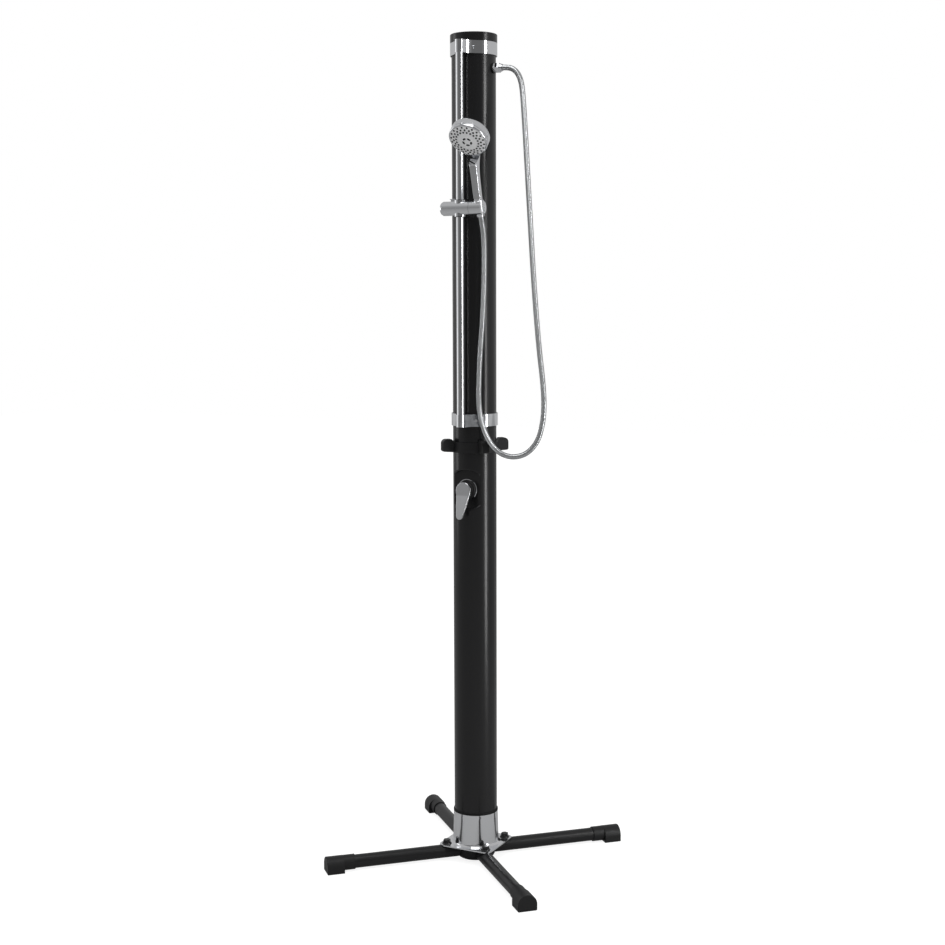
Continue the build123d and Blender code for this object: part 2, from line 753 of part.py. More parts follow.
with BuildPart() as cold_pipe:
    pipe(
        [(0, tail_start + tail_cover, inlet_height), (0, -port_depth, inlet_height), (0, -port_depth, feed_top)],
        2 * pipe_bend,
    )
keep(cold_pipe, "cold_pipe")

with BuildPart() as hot_pipe:
    ring(
        Plane(origin=(-port_spread / 2, -port_depth, pipe_start)),
        pipe_radius,
        pipe_bore,
        upper_tube_top - cap_spigot_length - pipe_start,
    )
keep(hot_pipe, "hot_pipe")

with BuildPart() as mixed_pipe:
    riser_x = port_spread / 2
    pipe(
        [
            (riser_x, -port_depth, pipe_start),
            (riser_x, -port_depth, outlet_height - 90),
            (riser_x, 0, outlet_height - 50),
            (riser_x, 0, outlet_height),
            (tail_start + tail_cover, 0, outlet_height),
        ],
        pipe_bend,
    )
keep(mixed_pipe, "mixed_pipe")

# Hose outlet near the top, on the +X side
outlet = outward(0, 0, outlet_height)
washer_face = tube_radius + outlet_washer_depth
hose_start = washer_face + running_gap + hose_nut_hex_length
hose_nut_end = washer_face + running_gap + hose_nut_length
with BuildPart() as outlet_nipple:
    disc(outlet.offset(tail_start), port_radius, 16)
    disc(outlet.offset(tube_bore - backnut_depth - 3), outlet_thread_radius, hose_start - 4 - tube_bore + backnut_depth + 3)
    disc(outlet.offset(tail_start), 3.2, hose_start, Mode.SUBTRACT)
keep(outlet_nipple, "outlet_nipple")

with BuildPart() as outlet_washer:
    ring(outlet.offset(tube_radius - 5), outlet_washer_radius, outlet_thread_radius + pipe_fit, 5 + outlet_washer_depth)
    disc(Plane.XY.offset(outlet_height - 20), tube_radius + pipe_fit, 40, Mode.SUBTRACT)
    chamfer(outlet_washer.faces().sort_by(Axis.X)[-1].edges().sort_by(SortBy.LENGTH)[-1], 0.8)
keep(outlet_washer, "outlet_washer")

with BuildPart() as outlet_backnut:
    hexagon(outlet.offset(tube_bore - backnut_depth - 2.6), 26, backnut_depth)
    disc(outlet.offset(tube_bore - backnut_depth - 3), outlet_thread_radius + pipe_fit, 20, Mode.SUBTRACT)
keep(outlet_backnut, "outlet_backnut")

with BuildPart() as hose_nut:
    hexagon(outlet.offset(washer_face + running_gap), hose_nut_across_flats, hose_nut_hex_length)
    with BuildSketch(outlet.offset(hose_start)):
        Circle(hose_nut_across_flats / 2 - 0.4)
    extrude(amount=hose_nut_length - hose_nut_hex_length, taper=16)
    disc(outlet.offset(washer_face), outlet_thread_radius + pipe_fit, hose_nut_hex_length, Mode.SUBTRACT)
    disc(outlet.offset(washer_face), hose_radius + pipe_fit, 40, Mode.SUBTRACT)
keep(hose_nut, "hose_nut")

# Garden hose inlet and drain plug, low on the back
inlet = outward(90, 0, inlet_height)
drain = outward(90, 0, drain_height)
with BuildPart() as inlet_nipple:
    disc(inlet.offset(tail_start), port_radius, 16)
    disc(inlet.offset(tube_bore - backnut_depth - 5), inlet_thread_radius, backnut_depth + 5 + tube_wall)
    with BuildSketch(inlet.offset(tube_radius - 6)):
        RegularPolygon(inlet_hex_across_flats / 2, 6, major_radius=False)
        Circle(inlet_thread_radius - 1, mode=Mode.SUBTRACT)
    extrude(amount=6 + inlet_hex_depth)
    with BuildPart(mode=Mode.PRIVATE) as column_side:
        disc(Plane.XY.offset(inlet_height - 30), tube_radius + pipe_fit, 60)
        disc(inlet, inlet_thread_radius, tube_radius, Mode.SUBTRACT)
    add(column_side.part, mode=Mode.SUBTRACT)
    disc(inlet.offset(tube_radius), inlet_thread_radius, inlet_hex_depth + inlet_thread_length)
    disc(inlet.offset(tail_start), 3.2, 20, Mode.SUBTRACT)
    disc(inlet.offset(tail_start + 19), 9, 60, Mode.SUBTRACT)
    chamfer(inlet_nipple.faces().sort_by(Axis.Y)[-1].edges().sort_by(SortBy.LENGTH)[-1], 1)
keep(inlet_nipple, "inlet_nipple")

with BuildPart() as inlet_backnut:
    hexagon(inlet.offset(tube_bore - backnut_depth - 4), 34, backnut_depth)
    disc(inlet, inlet_thread_radius + pipe_fit, tube_radius, Mode.SUBTRACT)
keep(inlet_backnut, "inlet_backnut")

with BuildPart() as drain_plug:
    hexagon(drain.offset(tube_radius - 3), drain_hex_across_flats, drain_hex_depth + 3)
    disc(Plane.XY.offset(drain_height - 20), tube_radius + pipe_fit, 40, Mode.SUBTRACT)
    disc(drain.offset(tube_bore - 4), drain_thread_radius, tube_wall + 8)
keep(drain_plug, "drain_plug")

# Slider: the left body with the rail's bush through it, and the release lever on top
slider_axis = Plane(origin=(0, -rail_distance, slider_height), x_dir=(0, 1, 0), z_dir=(1, 0, 0))
slider_upright = Plane(origin=(0, -rail_distance, slider_height))
pin_y = -rail_distance + lever_pin_offset_y
pin_z = slider_height + lever_pin_offset_z
with BuildPart() as slider_body:
    disc(slider_axis.offset(slider_left + end_cap_depth), slider_radius, slider_right - slider_left - end_cap_depth)
    disc(slider_upright.offset(-boss_half_height), boss_radius, 2 * boss_half_height)
    disc(slider_upright.offset(-boss_half_height), bush_radius + pipe_fit, 2 * boss_half_height, Mode.SUBTRACT)
    disc(slider_axis.offset(axle_start), axle_radius, slider_right - axle_start, Mode.SUBTRACT)
    with Locations(((lever_left + lever_right) / 2, pin_y + 6, pin_z + 8)):
        Box(lever_right - lever_left + 2 * running_fit, 24, 26, mode=Mode.SUBTRACT)
    disc(
        Plane(origin=(lever_left - 4, pin_y, pin_z), x_dir=(0, 1, 0), z_dir=(1, 0, 0)),
        lever_pin_radius,
        lever_right - lever_left + 8,
        Mode.SUBTRACT,
    )
keep(slider_body, "slider_body")

with BuildPart() as slider_end_cap:
    with BuildSketch(slider_axis.offset(slider_left + end_cap_depth)):
        Circle(slider_radius)
    extrude(amount=-end_cap_depth, taper=30)
keep(slider_end_cap, "slider_end_cap")

with BuildPart() as slider_bush:
    disc(slider_upright.offset(-boss_half_height), bush_radius, 2 * boss_half_height)
    for bottom in (-boss_half_height - bush_lip, boss_half_height):
        disc(slider_upright.offset(bottom), bush_radius + 1, bush_lip)
    disc(
        slider_upright.offset(-boss_half_height - bush_lip),
        rail_radius + running_gap,
        2 * (boss_half_height + bush_lip),
        Mode.SUBTRACT,
    )
keep(slider_bush, "slider_bush")

with BuildPart() as slider_lever:
    lever_plane = Plane(origin=(lever_left, pin_y, pin_z), x_dir=(0, 1, 0), z_dir=(1, 0, 0))
    with BuildSketch(lever_plane):
        Circle(lever_hub_radius)
        with Locations((0, (lever_tab_top - lever_pin_offset_z) / 2)):
            Rectangle(lever_tab_thickness, lever_tab_top - lever_pin_offset_z)
        with Locations((-2.5, lever_tab_top - lever_pin_offset_z - 1)):
            Rectangle(8, 2)
        Circle(lever_pin_radius + running_gap, mode=Mode.SUBTRACT)
    extrude(amount=lever_right - lever_left)
    fillet(slider_lever.edges().filter_by(Axis.X).group_by(Axis.Z)[-1], 0.8)
keep(slider_lever, "slider_lever")

with BuildPart() as slider_lever_pin:
    disc(lever_plane.offset(-4), lever_pin_radius, lever_right - lever_left + 8)
keep(slider_lever_pin, "slider_lever_pin")

# Tilting holder on its axle: a cylinder with a tapered, slotted seat for the hose's cone
holder_start = slider_right + tilt_washer_thickness
lean = radians(handset_lean)
handset = Plane(
    origin=(handset_x, -rail_distance, slider_height), x_dir=(1, 0, 0), z_dir=(0, -sin(lean), cos(lean))
)
cone_taper = (cone_top_radius - cone_bottom_radius) / (cone_top - cone_bottom)


def cone_radius(along):
    """The radius of the cone at a place along the hand shower's axis."""
    return cone_bottom_radius + (along - cone_bottom) * cone_taper


with BuildPart() as tilt_washer:
    ring(slider_axis.offset(slider_right), slider_radius - 0.5, axle_radius + pipe_fit, tilt_washer_thickness)
keep(tilt_washer, "tilt_washer")

with BuildPart() as tilt_axle:
    disc(slider_axis.offset(axle_start), axle_radius, axle_shoulder - axle_start)
    disc(slider_axis.offset(axle_shoulder), axle_head_radius, axle_head_depth)
keep(tilt_axle, "tilt_axle")

with BuildPart() as handset_holder:
    disc(slider_axis.offset(holder_start), slider_radius, holder_end - holder_start)
    fillet(handset_holder.faces().sort_by(Axis.X)[-1].edges(), 2)
    disc(slider_axis.offset(holder_start), axle_radius + running_gap, 30, Mode.SUBTRACT)
    disc(slider_axis.offset(axle_shoulder - running_fit), axle_head_radius + running_fit, 10, Mode.SUBTRACT)
    with BuildSketch(handset.offset(-30)):
        Circle(cone_radius(-30) + cone_gap)
    with BuildSketch(handset.offset(30)):
        Circle(cone_radius(30) + cone_gap)
    loft(mode=Mode.SUBTRACT)
    with BuildSketch(handset.offset(-30)):
        with Locations((20, 0)):
            Rectangle(40, slot_width)
    extrude(amount=60, mode=Mode.SUBTRACT)
keep(handset_holder, "handset_holder")

# Hand shower
with BuildPart() as cone_nut:
    with BuildSketch(handset.offset(cone_bottom)):
        Circle(cone_bottom_radius)
    with BuildSketch(handset.offset(cone_top)):
        Circle(cone_top_radius)
    loft()
    disc(handset.offset(cone_top), cone_top_radius, 2)
    chamfer(cone_nut.edges().sort_by(Axis.Z)[-1], 0.6)
keep(cone_nut, "cone_nut")

bend = radians(handset_lean + face_bend)
face_normal = Vector(0, -cos(bend), -sin(bend))
face_centre = handset.from_local_coords(Vector(0, -face_forward, face_along))
face_plane = Plane(origin=face_centre, x_dir=(1, 0, 0), z_dir=face_normal)
handle_bottom = cone_top + 2
core_radius = head_radius - ring_wall - running_fit


def handle_section(along, width, front, back, corner):
    """One rounded section of the handle, from its front to its back, for the loft."""
    with BuildSketch(handset.offset(along)) as section:
        with Locations((0, (back - front) / 2)):
            RectangleRounded(width, front + back, corner)
    return section.sketch


with BuildPart() as handset_shell:
    handle = [
        handle_section(handle_bottom, 20.5, handle_front, handle_front, handle_corner),
        handle_section(panel_start + 30, handle_width, handle_front, handle_front + 0.5, handle_corner),
        handle_section(panel_end, handle_width + 1, handle_front, 0.7 * neck_back, handle_corner),
        handle_section(panel_end + 20, neck_width, 2, neck_back, handle_corner),
        handle_section(panel_end + 50, neck_width + 4, -2, neck_back - 3, handle_corner),
    ]
    loft(handle)
    with BuildSketch(Plane(origin=face_centre, x_dir=-face_plane.y_dir, z_dir=(1, 0, 0))):
        with BuildLine():
            Polyline((0, -head_depth), (0, 0), (head_radius, 0), (head_radius, -head_side))
            ThreePointArc(
                (head_radius, -head_side),
                (head_radius - 3, (-head_side - head_shoulder_depth) / 2 - 2),
                (head_shoulder_radius, -head_shoulder_depth),
            )
            ThreePointArc(
                (head_shoulder_radius, -head_shoulder_depth),
                (head_shoulder_radius / 2, -head_depth + 0.8),
                (0, -head_depth),
            )
        make_face()
    revolve(axis=Axis(face_centre, face_normal))
    with BuildSketch(face_plane.offset(-ring_depth - running_fit)):
        Circle(scoop_radius)
        Circle(core_radius, mode=Mode.SUBTRACT)
    extrude(amount=60, mode=Mode.SUBTRACT)
    disc(face_plane.offset(-face_thickness), core_radius + 1, 60, Mode.SUBTRACT)
    with BuildSketch(handset.offset(panel_start)):
        with Locations((0, -handle_front)):
            Rectangle(panel_width, 2 * panel_depth)
    extrude(amount=panel_end - panel_start, mode=Mode.SUBTRACT)
keep(handset_shell, "handset_shell")

with BuildPart() as handle_panel:
    with BuildSketch(handset.offset(panel_start + 0.05)):
        with Locations((0, -handle_front + panel_depth / 2 - panel_proud)):
            Rectangle(panel_width - 0.1, panel_depth)
    extrude(amount=panel_end - panel_start - 0.1)
keep(handle_panel, "handle_panel")

# Spray face, its nozzles and centre, and the ring that selects the spray
with BuildPart() as spray_face:
    disc(face_plane.offset(-face_thickness), core_radius, face_thickness + face_proud)
    slot_turn = 360 / centre_slots
    with BuildSketch(face_plane.offset(-1)):
        with PolarLocations(0, centre_slots, 90):
            with Locations((centre_slot_radius, 0)):
                SlotOverall(1.7 * centre_slot_width, centre_slot_width, rotation=90)
    extrude(amount=10, mode=Mode.SUBTRACT)
keep(spray_face, "spray_face")

with BuildPart() as spray_centre:
    with BuildSketch(face_plane.offset(-1)):
        with PolarLocations(0, centre_slots, 90):
            with Locations((centre_slot_radius, 0)):
                SlotOverall(1.7 * centre_slot_width - 0.2, centre_slot_width - 0.2, rotation=90)
    extrude(amount=0.6)
keep(spray_centre, "spray_centre")

with BuildPart() as spray_nozzles:
    with BuildSketch(face_plane.offset(face_proud)):
        for row, row_radius in enumerate(nozzle_rows):
            with PolarLocations(row_radius, nozzles_in_row, row * 180 / nozzles_in_row):
                Circle(nozzle_radius)
    extrude(amount=nozzle_height, taper=20)
keep(spray_nozzles, "spray_nozzles")

with BuildPart() as selector_ring:
    with BuildSketch(Plane(origin=face_centre, x_dir=-face_plane.y_dir, z_dir=(1, 0, 0))):
        with BuildLine():
            inner = head_radius - ring_wall
            Line((inner, -ring_depth), (head_radius, -ring_depth))
            Line((head_radius, -ring_depth), (head_radius, -1.5))
            ThreePointArc(
                (head_radius, -1.5), (head_radius - 0.9, ring_proud - 0.9), (head_radius - 2.5, ring_proud)
            )
            Line((head_radius - 2.5, ring_proud), (inner, face_proud))
            Line((inner, face_proud), (inner, -ring_depth))
        make_face()
    revolve(axis=Axis(face_centre, face_normal))
    with BuildSketch(face_plane.offset(-ring_depth + 1)):
        with Locations((0, head_radius + tab_length / 2 - 1)):
            RectangleRounded(tab_width, tab_length + 2, 1.5)
    extrude(amount=ring_depth)
keep(selector_ring, "selector_ring")

# Hose: from the outlet down and round to the cone, as straight runs joined by arcs
hose_route = [
    (hose_start, 0, outlet_height),
    (94, 0, outlet_height),
    (113, -4, 2001),
    (128, -9, 1986),
    (138, -14, 1964),
    (144, -19, 1930),
    (151, -25, 1873),
    (161, -33, 1776),
    (173, -39, 1630),
    (186, -43, 1463),
    (199, -44, 1325),
    (210, -45, 1247),
    (215, -47, 1186),
    (211, -48, 1139),
    (199, -50, 1097),
    (171, -54, 1065),
    (131, -59, 1055),
    (90, -62, 1070),
    (60, -64, 1113),
    (42, -63, 1178),
    (44, -60, 1290),
    (51, -57, 1420),
    (52, -56, 1510),
    (53, -57, 1570),
]
hose_end = handset.from_local_coords(Vector(0, 0, cone_bottom - 0.05))
hose_before_end = handset.from_local_coords(Vector(0, 0, cone_bottom - 34))
hose_points = [Vector(*point) for point in hose_route] + [hose_before_end, hose_end]


def bend_radii(points):
    """The radius at each corner of the route: 0.45 of the shorter run over the tangent of half the turn."""
    radii = []
    for before, here, after in zip(points, points[1:], points[2:]):
        turn = radians((here - before).get_angle(after - here))
        radii.append(0.45 * min((here - before).length, (after - here).length) / tan(turn / 2))
    return radii


hose_radii = bend_radii(hose_points)
print("hose bend radii", [round(radius) for radius in hose_radii])
with BuildPart() as shower_hose:
    with BuildLine():
        hose_path = FilletPolyline(*hose_points, radius=hose_radii)
    with BuildSketch(Plane(origin=hose_path @ 0, z_dir=hose_path % 0)):
        Circle(hose_radius)
    sweep(path=hose_path)
section_times_length = pi * hose_radius**2 * hose_path.length
print("hose length", round(hose_path.length), "volume over section times length",
      round(shower_hose.part.volume / section_times_length, 4))
keep(shower_hose, "shower_hose")
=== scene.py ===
# %% [markdown]
# # A solar outdoor shower, dressed for the camera
#
# The real object is a black plastic column on a cross of four legs, with chrome fittings, a slider rail, a
# hand shower and a steel hose. Its shapes come from a CAD model that is loaded as a fixed frame, in metres.
# The scene adds what CAD leaves plain: the hose's wound strip, the hand shower's deep head and rubber
# nozzles, the mixer's trim and every finish.
#
# The first cell loads the frame.

# %% Load the CAD frame
import json
from math import copysign, cos, pi, radians, sin

import bmesh
import bpy
from mathutils import Matrix, Vector


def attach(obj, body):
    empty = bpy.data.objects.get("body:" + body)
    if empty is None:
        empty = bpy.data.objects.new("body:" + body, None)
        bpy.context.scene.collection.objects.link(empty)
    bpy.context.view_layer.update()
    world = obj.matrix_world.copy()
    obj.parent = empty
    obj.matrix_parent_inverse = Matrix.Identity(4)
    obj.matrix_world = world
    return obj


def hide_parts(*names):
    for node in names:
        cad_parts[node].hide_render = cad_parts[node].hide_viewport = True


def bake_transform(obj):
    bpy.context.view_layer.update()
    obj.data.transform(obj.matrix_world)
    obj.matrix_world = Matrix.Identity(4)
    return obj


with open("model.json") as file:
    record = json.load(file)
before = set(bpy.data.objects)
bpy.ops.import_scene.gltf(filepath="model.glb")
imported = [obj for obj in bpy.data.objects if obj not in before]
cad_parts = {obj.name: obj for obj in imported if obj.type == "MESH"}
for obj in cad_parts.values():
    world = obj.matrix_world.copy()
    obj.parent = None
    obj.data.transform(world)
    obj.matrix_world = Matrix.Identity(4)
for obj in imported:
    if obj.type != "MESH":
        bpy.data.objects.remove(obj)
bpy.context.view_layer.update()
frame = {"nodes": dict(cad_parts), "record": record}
scene = bpy.context.scene

# %% [markdown]
# ## The camera
#
# The camera stands where the photographer stood: in front and to the right, a little above the middle of the
# column, looking slightly down. Its turn is built from three directions, because that keeps the pitch and
# the small roll apart. A fairly long lens keeps the column's sides nearly parallel.

# %% Place the camera
camera_place = Vector((1.8109, -3.5325, 1.457))
camera_azimuth = radians(27.229)
camera_pitch = radians(6.4746)
camera_roll = radians(-0.1737)
camera_lens = 59.859
camera_sensor_width = 36

away = Vector((-sin(camera_azimuth), cos(camera_azimuth), 0))
right = Vector((cos(camera_azimuth), sin(camera_azimuth), 0))
ahead = away * cos(camera_pitch) - Vector((0, 0, sin(camera_pitch)))
up = right.cross(ahead)
rolled_right = right * cos(camera_roll) + up * sin(camera_roll)
rolled_up = up * cos(camera_roll) - right * sin(camera_roll)

camera = bpy.data.objects.new("camera", bpy.data.cameras.new("camera"))
scene.collection.objects.link(camera)
camera.data.lens = camera_lens
camera.data.sensor_width = camera_sensor_width
camera_turn = Matrix((rolled_right, rolled_up, -ahead)).transposed().to_4x4()
camera.matrix_world = Matrix.Translation(camera_place) @ camera_turn
scene.camera = camera
print("camera looks along", tuple(round(part, 3) for part in ahead))

# %% [markdown]
# ## The shower hose
#
# The real hose is a steel strip wound round a soft tube, 14 mm thick and 1.67 m long. It leaves the outlet
# near the top, hangs in one long loop and comes up to the cone under the hand shower. The hang is a smooth
# NURBS line that a row of points shapes. The tube's radius then steps in and out along that line, because
# that is what catches the light on a wound hose.

# %% The line that the hose follows
hose_radius = 0.007
hose_route = [
    (0.0721, 0.0, 2.008),
    (0.094, 0.0, 2.008),
    (0.113, -0.004, 2.001),
    (0.128, -0.009, 1.986),
    (0.138, -0.014, 1.964),
    (0.144, -0.019, 1.930),
    (0.151, -0.025, 1.873),
    (0.161, -0.033, 1.776),
    (0.173, -0.039, 1.630),
    (0.186, -0.043, 1.463),
    (0.199, -0.044, 1.325),
    (0.210, -0.045, 1.247),
    (0.215, -0.047, 1.186),
    (0.211, -0.048, 1.139),
    (0.199, -0.050, 1.097),
    (0.171, -0.054, 1.065),
    (0.131, -0.059, 1.055),
    (0.090, -0.062, 1.070),
    (0.060, -0.064, 1.113),
    (0.042, -0.063, 1.178),
    (0.044, -0.060, 1.290),
    (0.0535, -0.057, 1.420),
    (0.056, -0.056, 1.510),
    (0.0565, -0.057, 1.570),
    (0.056, -0.0608, 1.6131),
    (0.054, -0.0702, 1.6458),
]


def smooth_line(points):
    """The points of the NURBS curve that these control points shape, in order."""
    curve = bpy.data.curves.new("route", "CURVE")
    curve.dimensions = "3D"
    curve.resolution_u = 24
    spline = curve.splines.new("NURBS")
    spline.points.add(len(points) - 1)
    for control, place in zip(spline.points, points):
        control.co = (*place, 1)
    spline.order_u = 3
    spline.use_endpoint_u = True
    holder = bpy.data.objects.new("route", curve)
    line = [vertex.co.copy() for vertex in bpy.data.meshes.new_from_object(holder).vertices]
    bpy.data.objects.remove(holder)
    return line


def length_of(line):
    """The length of a line of points."""
    return sum((after - before).length for before, after in zip(line, line[1:]))


hose_line = smooth_line(hose_route)
print("hose length", round(length_of(hose_line), 3))

# %% [markdown]
# The hose crosses three joints: the slider, the tilting holder and the hand shower that lifts out. The hose
# is cut into four lengths: at the lowest point of the loop and at two heights on its way up to the hand
# shower.

# %% Cut the line where the hose passes from one moving body to the next
holder_cut = 1.510
lift_cut = 1.600

lowest = min(range(len(hose_line)), key=lambda number: hose_line[number].z)
rising = range(lowest, len(hose_line))
at_holder = next(number for number in rising if hose_line[number].z > holder_cut)
at_lift = next(number for number in rising if hose_line[number].z > lift_cut)
falling_line = hose_line[: lowest + 1]
rising_line = hose_line[lowest : at_holder + 1]
tilting_line = hose_line[at_holder : at_lift + 1]
lifting_line = hose_line[at_lift:]
cut_lines = (falling_line, rising_line, tilting_line, lifting_line)
print("lengths", [round(length_of(part), 3) for part in cut_lines])

# %% Build the wound tube along a line
rib_pitch = 0.0030
rib_steps = 4
rib_shares = (1.0, 0.985, 0.90, 0.90)


def even_steps(line, step):
    """Points along a line, the same distance apart, with both of its ends."""
    count = max(2, round(length_of(line) / step))
    spacing = length_of(line) / count
    places = [line[0]]
    walked = 0.0
    for before, after in zip(line, line[1:]):
        run = (after - before).length
        while len(places) < count and walked + run >= spacing * len(places):
            share = (spacing * len(places) - walked) / run
            places.append(before.lerp(after, share))
        walked += run
    return places + [line[-1]]


def wound_hose(name, line):
    """A round tube along a line, whose radius drops into a groove after each turn of the strip."""
    curve = bpy.data.curves.new(name, "CURVE")
    curve.dimensions = "3D"
    curve.bevel_depth = hose_radius
    curve.bevel_resolution = 4
    curve.use_fill_caps = True
    places = even_steps(line, rib_pitch / rib_steps)
    spline = curve.splines.new("POLY")
    spline.points.add(len(places) - 1)
    for number, (point, place) in enumerate(zip(spline.points, places)):
        point.co = (*place, 1)
        point.radius = rib_shares[number % rib_steps]
    shape = bpy.data.objects.new(name + "_line", curve)
    tube = bpy.data.objects.new(name, bpy.data.meshes.new_from_object(shape))
    bpy.data.objects.remove(shape)
    tube.data.shade_smooth()
    scene.collection.objects.link(tube)
    return tube


hose_parts = {
    "hose_falling": falling_line,
    "hose_rising": rising_line,
    "hose_tilting": tilting_line,
    "hose_lifting": lifting_line,
}
hoses = {name: wound_hose(name, line) for name, line in hose_parts.items()}
print("hose faces", {name: len(tube.data.polygons) for name, tube in hoses.items()})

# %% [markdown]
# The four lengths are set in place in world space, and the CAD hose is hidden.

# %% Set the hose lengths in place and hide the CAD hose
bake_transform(hoses["hose_falling"])
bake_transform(hoses["hose_rising"])
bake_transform(hoses["hose_tilting"])
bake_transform(hoses["hose_lifting"])
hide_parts("shower_hose")
print("hose pieces placed")

# %% [markdown]
# ## Helpers for new pieces
#
# Most pieces of a hand shower and a mixer are turned, so one helper spins a profile. The others round edges,
# put a mesh in its place, unite or cut two pieces, and finish a piece. A frame of three directions puts a
# shape's own axes where the real piece points.

# %% Shapes that are turned, rounded, placed, cut and kept
sideways = Vector((1, 0, 0))


def frame_at(place, x_way, y_way, z_way):
    """The matrix that puts a shape's own axes at a place, along these directions."""
    return Matrix.Translation(place) @ Matrix((x_way, y_way, z_way)).transposed().to_4x4()


def turned(profile, closed=False, steps=96):
    """A shape spun about Z from its (radius, height) points, with closed for a ring."""
    mesh = bmesh.new()
    chain = [mesh.verts.new((radius, 0, height)) for radius, height in profile]
    pairs = list(zip(chain, chain[1:])) + ([(chain[-1], chain[0])] if closed else [])
    edges = [mesh.edges.new(pair) for pair in pairs]
    bmesh.ops.spin(
        mesh, geom=chain + edges, cent=(0, 0, 0), axis=(0, 0, 1), angle=2 * pi, steps=steps, use_merge=True
    )
    bmesh.ops.remove_doubles(mesh, verts=mesh.verts, dist=1e-6)
    return mesh


def round_edges(mesh, edges, size, segments):
    """Bevel these edges of a mesh to a round of this size."""
    bmesh.ops.bevel(
        mesh, geom=edges, offset=size, segments=segments, profile=0.5, affect="EDGES", material=-1
    )


def place_mesh(mesh, name, matrix):
    """An object at the origin whose mesh has been moved to its place, with its faces turned outwards."""
    bmesh.ops.transform(mesh, matrix=matrix, verts=mesh.verts)
    bmesh.ops.recalc_face_normals(mesh, faces=mesh.faces)
    data = bpy.data.meshes.new(name)
    mesh.to_mesh(data)
    mesh.free()
    piece = bpy.data.objects.new(name, data)
    scene.collection.objects.link(piece)
    return piece


def combine(piece, other, operation):
    """Unite a piece with another one, or cut it by the other one, which is then removed."""
    step = piece.modifiers.new(operation, "BOOLEAN")
    step.operation = operation
    step.object = other
    step.solver = "EXACT"
    made = bpy.data.meshes.new_from_object(piece.evaluated_get(bpy.context.evaluated_depsgraph_get()))
    piece.modifiers.clear()
    piece.data = made
    bpy.data.objects.remove(other)


def keep_piece(piece, body, slot, node=None, corner=35):
    """Shade a piece, let it ride on a body, keep its slot for later and hide the CAD node that it stands
    for.
    """
    piece.data.shade_smooth()
    piece.data.set_sharp_from_angle(angle=radians(corner))
    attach(piece, body)
    if node:
        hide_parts(node)
    new_pieces.append((piece, slot))
    print(piece.name, len(piece.data.polygons), "faces")


new_pieces = []

# %% [markdown]
# ## The hand shower
#
# The real hand shower is a plated moulding: a slim handle, flat in front and round behind, that swells into
# a deep round head. The head's front carries a pale domed face in a turning ring. The CAD model has these
# pieces plainer, so each is made again here and stands for its node. The handle is a loft of rounded
# sections and the head is turned. One boolean unites them, and another cuts the scoop where the handle
# meets the ring.

# %% Where the handle and the face point
handset_lean = radians(16)
face_turn = radians(47)
handset_foot = Vector((0.054, -0.076, 1.666))
face_middle = Vector((0.054, -0.140719, 1.818780))
handset_frame = frame_at(
    handset_foot,
    sideways,
    Vector((0, cos(handset_lean), sin(handset_lean))),
    Vector((0, -sin(handset_lean), cos(handset_lean))),
)
face_frame = frame_at(
    face_middle,
    sideways,
    Vector((0, -sin(face_turn), cos(face_turn))),
    Vector((0, -cos(face_turn), -sin(face_turn))),
)

# %% The shell: a lofted handle united with a turned head, then scooped
handle_front = 0.0095
front_power = 0.32
back_power = 0.60
handle_sections = [
    (0.0190, 0.0175, 0.0085),
    (0.0400, 0.0180, 0.0090),
    (0.0600, 0.0185, 0.0096),
    (0.0750, 0.0188, 0.0107),
    (0.0850, 0.0190, 0.0122),
    (0.0950, 0.0193, 0.0145),
    (0.1040, 0.0198, 0.0172),
    (0.1120, 0.0208, 0.0205),
    (0.1190, 0.0222, 0.0235),
    (0.1260, 0.0238, 0.0258),
    (0.1350, 0.0250, 0.0270),
    (0.1450, 0.0255, 0.0268),
    (0.1500, 0.0250, 0.0262),
]
scoop_radius = 0.054
scoop_floor = -0.0123
head_radius = 0.0485
head_profile = [
    (0, -0.0100),
    (head_radius, -0.0100),
    (head_radius, -0.0260),
    (0.0482, -0.0282),
    (0.0472, -0.0300),
    (0.0454, -0.0316),
    (0.0426, -0.0330),
    (0.0390, -0.0340),
    (0.0340, -0.0350),
    (0.0250, -0.0363),
    (0.0130, -0.0376),
    (0, -0.0380),
]


def handle_section(mesh, along, width, back):
    """One section of the handle, with tight corners in front and round ones behind, as a loop of edges."""
    loop = bmesh.ops.create_circle(mesh, segments=40, radius=1)["verts"]
    for corner in loop:
        front_half = corner.co.y < 0
        power = front_power if front_half else back_power
        across = copysign(abs(corner.co.x) ** power, corner.co.x) * width / 2
        depth = copysign(abs(corner.co.y) ** power, corner.co.y) * (handle_front if front_half else back)
        corner.co = (across, depth, along)
    return list({edge for corner in loop for edge in corner.link_edges})


handle = bmesh.new()
loops = [handle_section(handle, along, width, back) for along, width, back in handle_sections]
for lower, upper in zip(loops, loops[1:]):
    bmesh.ops.bridge_loops(handle, edges=lower + upper)
bmesh.ops.holes_fill(handle, edges=handle.edges, sides=0)
shell = place_mesh(handle, "hand_shower_shell", handset_frame)
combine(shell, place_mesh(turned(head_profile), "head", face_frame), "UNION")

cutter = bmesh.new()
cutter_depth = 0.08
bmesh.ops.create_cone(
    cutter, cap_ends=True, segments=128, radius1=scoop_radius, radius2=scoop_radius, depth=cutter_depth
)
bmesh.ops.translate(cutter, verts=cutter.verts, vec=(0, 0, scoop_floor + cutter_depth / 2))
combine(shell, place_mesh(cutter, "scoop", face_frame), "DIFFERENCE")
keep_piece(shell, "handset", "plated_plastic", "handset_shell", corner=30)

